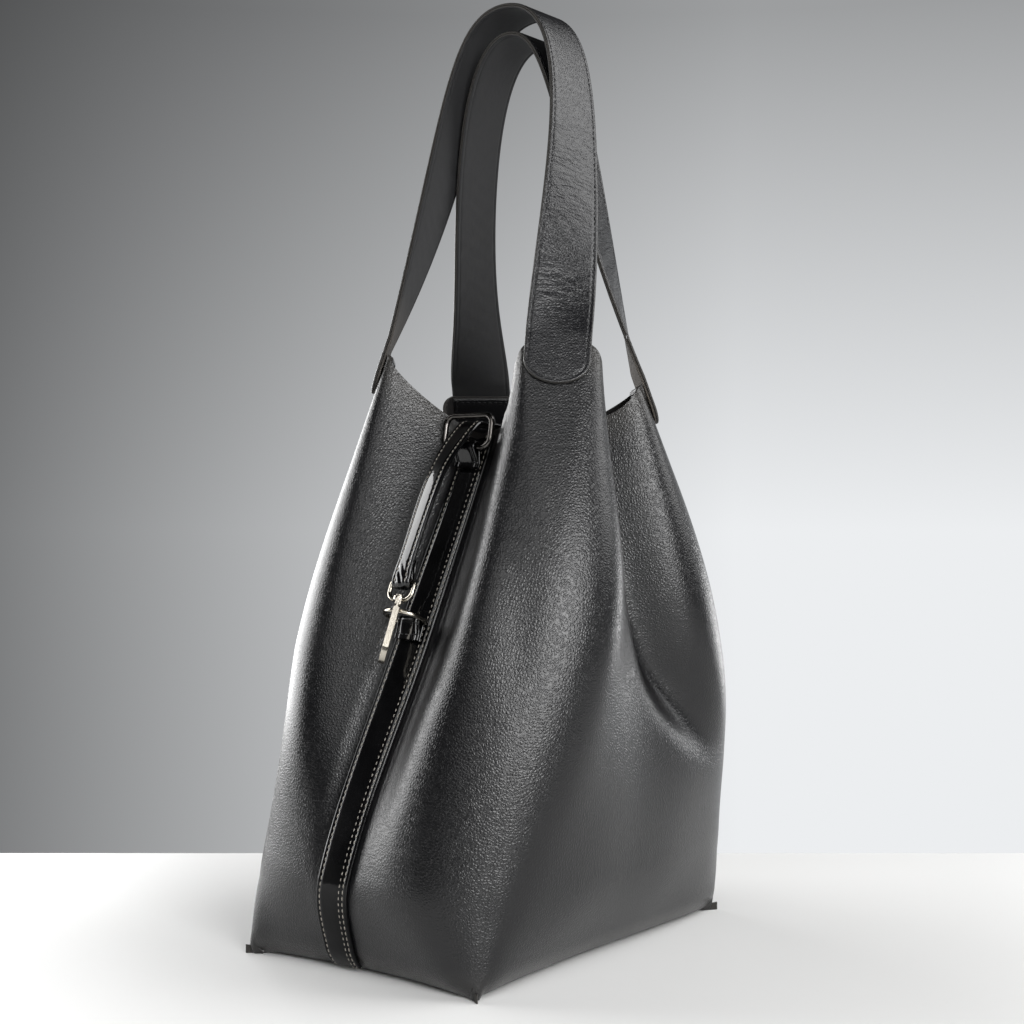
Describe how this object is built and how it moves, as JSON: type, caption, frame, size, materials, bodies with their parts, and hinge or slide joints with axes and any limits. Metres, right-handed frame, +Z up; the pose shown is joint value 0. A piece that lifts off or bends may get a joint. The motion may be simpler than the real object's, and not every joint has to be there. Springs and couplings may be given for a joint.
{
  "type": "bucket tote bag",
  "caption": "Soft black leather bucket tote with raised shoulder straps, a patent centre strip and a snap-hook closure strap; stands on its base and carries loads.",
  "frame": {"origin": "middle of the base underside", "axes": "+Z up along the height, the closure strap side faces -Y, +X to the right seen from the closure side"},
  "size_m": [0.1847, 0.263, 0.5203],
  "materials": {
    "body_leather": "pebbled semi-matt",
    "strap_lining": "matt flesh side",
    "patent_leather": "high gloss patent",
    "base_board": "cloth-covered board",
    "gunmetal": "polished gunmetal plate",
    "nickel": "polished nickel plate"
  },
  "bodies": {
    "bag": {"right_body_panel": "body_leather", "left_body_panel": "body_leather", "base_panel": "body_leather", "base_board": "base_board", "front_seam_strip": "patent_leather", "back_seam_strip": "patent_leather", "front_right_handle_end": "body_leather", "front_left_handle_end": "body_leather", "back_right_handle_end": "body_leather", "back_left_handle_end": "body_leather", "front_right_backing_patch": "body_leather", "front_left_backing_patch": "body_leather", "back_right_backing_patch": "body_leather", "back_left_backing_patch": "body_leather", "slot_ring_tab": "patent_leather", "d_ring_tab": "patent_leather", "closure_strap": "patent_leather", "closure_anchor_patch": "body_leather"},
    "front_handle": {"front_handle_strap": "body_leather", "front_handle_lining": "strap_lining"},
    "back_handle": {"back_handle_strap": "body_leather", "back_handle_lining": "strap_lining"},
    "slot_ring_body": {"slot_ring": "gunmetal"},
    "d_ring_body": {"d_ring": "nickel"},
    "hook_eye_body": {"hook_eye": "nickel"},
    "hook_assembly": {"hook_body": "nickel", "swivel_post": "nickel", "gate_pin": "nickel"},
    "gate_body": {"hook_gate": "nickel"}
  },
  "joints": [
    {"name": "front_handle_swing", "type": "hinge", "parent": "bag", "child": "front_handle", "pos_m": [0.01534, -0.05885, 0.332], "axis": [1, 0, 0], "range_deg": [0, 150]},
    {"name": "back_handle_swing", "type": "hinge", "parent": "bag", "child": "back_handle", "pos_m": [0.01488, 0.05501, 0.315], "axis": [-1, 0, 0], "range_deg": [0, 150]},
    {"name": "slot_ring_swing", "type": "hinge", "parent": "bag", "child": "slot_ring_body", "pos_m": [0.01267, -0.04515, 0.27307], "axis": [1, 0, 0], "range_deg": [-10, 20]},
    {"name": "d_ring_swing", "type": "hinge", "parent": "bag", "child": "d_ring_body", "pos_m": [0.00863, -0.08641, 0.18063], "axis": [1, 0, 0], "range_deg": [0, 12]},
    {"name": "hook_eye_swing", "type": "hinge", "parent": "bag", "child": "hook_eye_body", "pos_m": [0.01063, -0.09461, 0.20149], "axis": [1, 0, 0], "range_deg": [-2, 2]},
    {"name": "hook_swivel", "type": "hinge", "parent": "hook_eye_body", "child": "hook_assembly", "pos_m": [0.01063, -0.10097, 0.18703], "axis": [0, -0.4023, -0.9155], "range_deg": [-6, 8]},
    {"name": "hook_gate_hinge", "type": "hinge", "parent": "hook_assembly", "child": "gate_body", "pos_m": [0.01456, -0.10379, 0.19187], "axis": [0.7547, 0.6006, -0.2639], "range_deg": [0, 14], "stiffness_Nm_per_rad": 0.02, "springref_deg": -11.46}
  ]
}
